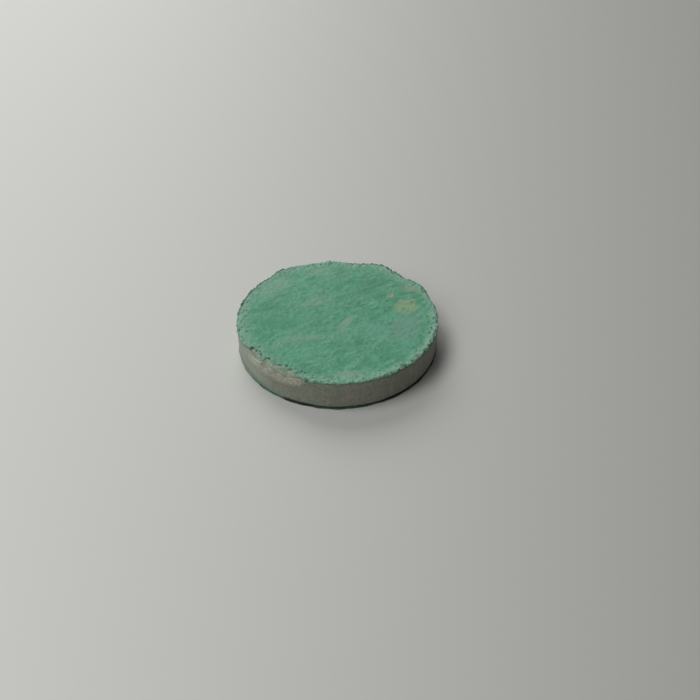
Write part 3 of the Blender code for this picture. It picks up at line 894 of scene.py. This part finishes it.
def make_upper_coat():
    """Brushed coat with a pitted and crumbling rim, in millimetres."""
    piece = copy_of_node("green_coat", "top_face_coat")
    even_mesh(piece, COAT_MESH, COAT_FLATNESS)

    def above(height):
        """0 on the hidden underside."""
        return rise(height, COAT_BOTTOM + 0.04, COAT_BOTTOM + 0.22)

    mark(piece, {
        "face": lambda inset, bearing, height: rise(height, COAT_BOTTOM + 0.1, COAT_FACE - 0.08),
        "rim": lambda inset, bearing, height: rise(inset, 3.2, 0.6) * above(height),
        "pale": lambda inset, bearing, height: max(
            rise(inset, 4.5, 1.0) * bearing_window(bearing, 45, 205, 20),
            rise(inset, 2.6, 1.0) * bearing_window(bearing, -100, 0, 15) * 0.75,
        ),
        "freckled": lambda inset, bearing, height: rise(inset, 2.6, 1.8) * rise(inset, 0.5, 1.1),
        "ragged": lambda inset, bearing, height: rise(inset, 1.1, 0.3) * above(height)
        * (0.5 + 0.5 * bearing_window(bearing, -62, -5, 8) - 0.15 * break_window(bearing)),
        # Darker outer edge of the coat, strongest at the back
        "edge": lambda inset, bearing, height: rise(inset, 0.45, 0.15)
        * (0.2 + 0.4 * bearing_window(bearing, -10, 175, 15)),
        # Painted shade along the back of the rim
        "shaded_outline": lambda inset, bearing, height: rise(inset, 0.9, 0.4)
        * max(bearing_window(bearing, 24, 76, 8), bearing_window(bearing, 124, 172, 10)),
        "draped": lambda inset, bearing, height: break_window(bearing) * rise(inset, 0.9, 0.0),
        "pit": pit_weigher(all_pits(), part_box("side_seal_band")[1][0] / MM),
    })
    broad = brush_guide(UPPER_BRUSHING, 3.2, 1.7)
    narrow = brush_guide(UPPER_BRUSHING - 8, 2.0, 0.6)
    smooth = [point.co.copy() for point in piece.data.vertices]
    displace(piece, "face", 0.26, clouds("thick and thin", 4.0), direction="Z")
    displace(piece, "face", 0.30, clouds("broad strokes", 1.0), direction="Z", guide=broad)
    displace(piece, "face", 0.34, clouds("small lumps", 0.9), direction="Z")
    displace(piece, "face", 0.12, clouds("bristle marks", 1.0), direction="Z", guide=narrow)
    displace(piece, "rim", 0.5, clouds("rim lumps", 1.0), middle=0.55)
    displace(piece, "ragged", 0.8, clouds("ragged edge", 1.0), middle=0.66)
    displace(piece, "ragged", 0.42, cells("crumbs", 0.8))
    mark_relief(piece, smooth)
    displace(piece, "pit", -0.25, direction="Z")
    displace(piece, "draped", -0.4, direction="Z")
    for guide in (broad, narrow):
        bpy.data.objects.remove(guide)
    return piece


def make_coat_crumbs(coat):
    """Crumbs of dried coat stuck on the upper coat's rim, in millimetres."""
    draw = random.Random(CRUMB_SEED)
    reach = outline_of(coat)
    lumps = []
    for count in range(CRUMB_COUNT):
        bearing = draw.uniform(-180, 180)
        inset = draw.triangular(*CRUMB_INSET)
        start = place_at(reach_at(reach, bearing) - inset, bearing, COAT_FACE + CRUMB_START)
        lumps.append((start, Vector((0, 0, -1)), draw.triangular(*CRUMB_RADIUS)))
    return scatter_lumps("coat_crumbs", [coat], lumps, CRUMB_SUNK)


def make_lower_coat():
    """Coat of the underside, with a slightly uneven edge, in millimetres."""
    piece = copy_of_node("green_underside", "bottom_face_coat")
    even_mesh(piece, UNDERSIDE_MESH, COAT_FLATNESS)
    mark(piece, {
        "face": lambda inset, bearing, height: rise(height, 0.3, 0.1),
        # Painted shade on the edge, weaker at the back left where the light reaches
        "edge": lambda inset, bearing, height: rise(inset, 0.6, 0.2)
        * (1.0 - 0.4 * bearing_window(bearing, 180, 236, 6)),
        "shade": lambda inset, bearing, height: rise(inset, 0.6, 0.2)
        * max(bearing_window(bearing, -117, -106, 6), bearing_window(bearing, -62, 20, 10)),
        # Paler green fringe along the edge at the back left
        "pale_fringe": lambda inset, bearing, height: rise(inset, 0.6, 0.2)
        * bearing_window(bearing, 170, 208, 12),
        "spread": lambda inset, bearing, height: rise(inset, 0.5, 0.1) * rise(height, 0.42, 0.3),
    })
    guide = brush_guide(LOWER_BRUSHING, 5.0, 0.9)
    smooth = [point.co.copy() for point in piece.data.vertices]
    displace(piece, "face", 0.12, clouds("underside strokes", 1.0), middle=0.25, direction="Z", guide=guide)
    displace(piece, "edge", 0.12, clouds("underside edge", 0.9))
    mark_relief(piece, smooth)
    displace(piece, "spread", 0.17)
    bpy.data.objects.remove(guide)
    return piece


# ---------------------------------------------------------------- skin and stone


def broken_weight(inset, bearing, height):
    """1 on the broken slope, fading a little way down the side below it."""
    window = break_window(bearing)
    foot = SKIN_TOP - BREAK_DROP * window
    return math.sqrt(window) * rise(height, foot - 2.8, foot + 1.0)


def roughen_break(piece):
    """Rounded edges, grains and hollows of bare stone along the break."""
    modifier = piece.modifiers.new("round", "SMOOTH")
    modifier.vertex_group = "broken"
    modifier.factor = 0.5
    modifier.iterations = 14
    apply_modifier(piece, modifier)
    displace(piece, "broken", 0.12, clouds("stone hollows", 1.3))
    displace(piece, "broken", 0.07, cells("stone grains", 0.45), middle=0.45)


def make_skin():
    """Grey skin round the rim, rough where it is broken, in millimetres."""
    piece = copy_of_node("grey_rim_skin", "side_seal_band")
    even_mesh(piece, SKIN_MESH)
    mark(piece, {
        "broken": broken_weight,
        "side": lambda inset, bearing, height: rise(inset, 0.5, 0.1),
        "inner": lambda inset, bearing, height: rise(inset, 0.5, 0.7)
        * rise(height, PLATE_SPLIT + 0.1, PLATE_SPLIT + 0.6) * (0.35 + 0.65 * break_window(bearing)),
        "paler": lambda inset, bearing, height: rise(height, 1.2, 2.8)
        * bearing_window(bearing, -172, -140, 14),
        "dusted": lambda inset, bearing, height: break_window(bearing) * rise(inset, 0.3, 0.8),
        "smear": lambda inset, bearing, height: rise(height, 3.8, 0.9)
        * bearing_window(bearing, -158, -112, 12),
        # Painted shade along the foot of the skin, most at the front
        "dark_band": lambda inset, bearing, height: rise(height, 1.0, 0.65)
        * (0.25 + 0.75 * bearing_window(bearing, -104, -64, 8)),
        "shade": lambda inset, bearing, height: rise(height, 1.2, 0.75)
        * max(bearing_window(bearing, -117, -106, 6), bearing_window(bearing, -60, 20, 8)),
    })
    displace(piece, "inner", 0.95)
    displace(piece, "side", 0.1, clouds("skin waves", 3.5), middle=0.75)
    displace(piece, "side", 0.06, clouds("skin drag", 0.7), middle=0.75)
    roughen_break(piece)
    return piece


def make_upper_stone():
    """Upper stone plate, whose broken edge shows at the front left, in millimetres."""
    piece = copy_of_node("broken_stone_plate", "upper_stone_plate")
    even_mesh(piece, STONE_MESH)
    mark(piece, {
        "broken": lambda inset, bearing, height: break_window(bearing) * rise(inset, 2.2, 1.4)
        * rise(height, COAT_BOTTOM - 2.4, COAT_BOTTOM - 1.8),
        "dusted": lambda inset, bearing, height: break_window(bearing)
        * rise(height, COAT_BOTTOM - 1.3, COAT_BOTTOM - 0.6),
    })
    displace(piece, "broken", 0.25)
    roughen_break(piece)
    return piece


def make_stone_grains(hosts):
    """Loose grains standing in the break, in millimetres."""
    draw = random.Random(GRAIN_SEED)
    middle = (BREAK_START + BREAK_END) / 2
    half_turn = (BREAK_END - BREAK_START) / 2 + BREAK_EASE * GRAIN_SPILL
    lumps = []
    for count in range(GRAIN_COUNT):
        bearing = middle + draw.uniform(-half_turn, half_turn)
        height = SKIN_TOP + GRAIN_RISE - draw.uniform(0.0, GRAIN_FALL) * break_window(bearing)
        ray = place_at(-1, bearing, -1).normalized()
        lumps.append((place_at(GRAIN_START, bearing, height), ray, draw.triangular(*GRAIN_RADIUS)))
    return scatter_lumps("stone_grains", hosts, lumps, GRAIN_SUNK)


def finish_cad_nodes(stone):
    """Give the CAD nodes that stay their own finishes."""
    adhesive = make_moulded_material("cream_adhesive", rgb(176, 168, 146), rgb(190, 184, 165), 0.5)
    plastic = make_moulded_material("grey_bush_plastic", rgb(72, 74, 74), rgb(92, 94, 93), 0.45)
    rubber = make_moulded_material("black_seal_rubber", rgb(36, 36, 37), rgb(52, 52, 52), 0.8)
    finishes = {
        "lower_stone_plate": stone,
        "plate_bond_layer": adhesive,
        "inlet_bush": plastic,
        "bush_seal_ring": rubber,
    }
    for node, material in finishes.items():
        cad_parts[node].material_slots[0].material = material


# ---------------------------------------------------------------- stage


def make_floor():
    """Plain pale floor with a painted fall-off of light: it darkens a little away from the window."""
    material, tree, shader = new_material("pale_floor", 0.6)
    shader.inputs["Specular IOR Level"].default_value = 0.25
    place = shader_node(tree, "ShaderNodeTexCoord").outputs["Object"]
    along = shader_node(tree, "ShaderNodeSeparateXYZ", None, {0: place}).outputs
    widened = math_of(tree, "ADD", share_of(tree, along["Y"], FADE_WIDENING), 1.0)
    spread = math_of(tree, "MAXIMUM", widened, FADE_LEAST)
    across = math_of(tree, "DIVIDE", along["X"], spread)
    inputs = {"Value": across, "From Min": -FLOOR_FADE, "From Max": FLOOR_FADE}
    fade = shader_node(tree, "ShaderNodeMapRange", {"clamp": True}, inputs).outputs[0]
    colour = mixed(tree, fade, rgb(*FLOOR_NEAR), rgb(*FLOOR_FAR))
    tree.links.new(colour, shader.inputs["Base Color"])
    bpy.ops.object.select_all(action="DESELECT")
    bpy.ops.mesh.primitive_plane_add(size=FLOOR_SIZE, location=(0, 0, 0))
    floor = bpy.context.active_object
    floor.name = "floor"
    floor.data.materials.append(material)


def make_soft_light(name, heading, elevation, distance, size, power):
    """Round soft light that looks at the disc. Its heading and elevation are in degrees."""
    data = bpy.data.lights.new(name, "AREA")
    data.shape = "DISK"
    data.size = size
    data.energy = power
    light = bpy.data.objects.new(name, data)
    bpy.context.scene.collection.objects.link(light)
    level = distance * math.cos(elevation * DEGREE)
    light.location = place_at(level, heading, distance * math.sin(elevation * DEGREE))
    light.rotation_euler = (math.pi / 2 - elevation * DEGREE, 0, heading * DEGREE + math.pi / 2)


def make_sky():
    """Even light from all round."""
    world = bpy.data.worlds.new("sky")
    bpy.context.scene.world = world
    world.use_nodes = True
    background = world.node_tree.nodes["Background"]
    background.inputs["Color"].default_value = (1.0, 1.0, 1.0, 1.0)
    background.inputs["Strength"].default_value = SKY_STRENGTH


def make_camera():
    """Camera at the photograph's angle."""
    data = bpy.data.cameras.new("camera")
    data.sensor_width = SENSOR_WIDTH
    data.lens = CAMERA_LENS
    data.clip_start = CLIP_START
    camera = bpy.data.objects.new("camera", data)
    bpy.context.scene.collection.objects.link(camera)
    camera.location = CAMERA_PLACE
    camera.rotation_euler = [angle * DEGREE for angle in CAMERA_TURN]
    bpy.context.scene.camera = camera


make_camera()
make_soft_light("window", **WINDOW)
make_soft_light("back", **BACK)
make_soft_light("fill", **FILL)
make_sky()
make_floor()
bpy.context.scene.view_settings.view_transform = "Standard"

coat_material = make_upper_coat_material()
stone_material = make_stone_material()
coat = make_upper_coat()
crumbs = make_coat_crumbs(coat)
underside = make_lower_coat()
skin = make_skin()
stone = make_upper_stone()
grains = make_stone_grains([skin, stone])

finish_piece(coat, coat_material, "top_face_coat")
finish_piece(crumbs, coat_material)
finish_piece(underside, make_lower_coat_material(), "bottom_face_coat")
finish_piece(skin, make_skin_material(), "side_seal_band")
finish_piece(stone, stone_material, "upper_stone_plate")
finish_piece(grains, stone_material)
finish_cad_nodes(stone_material)
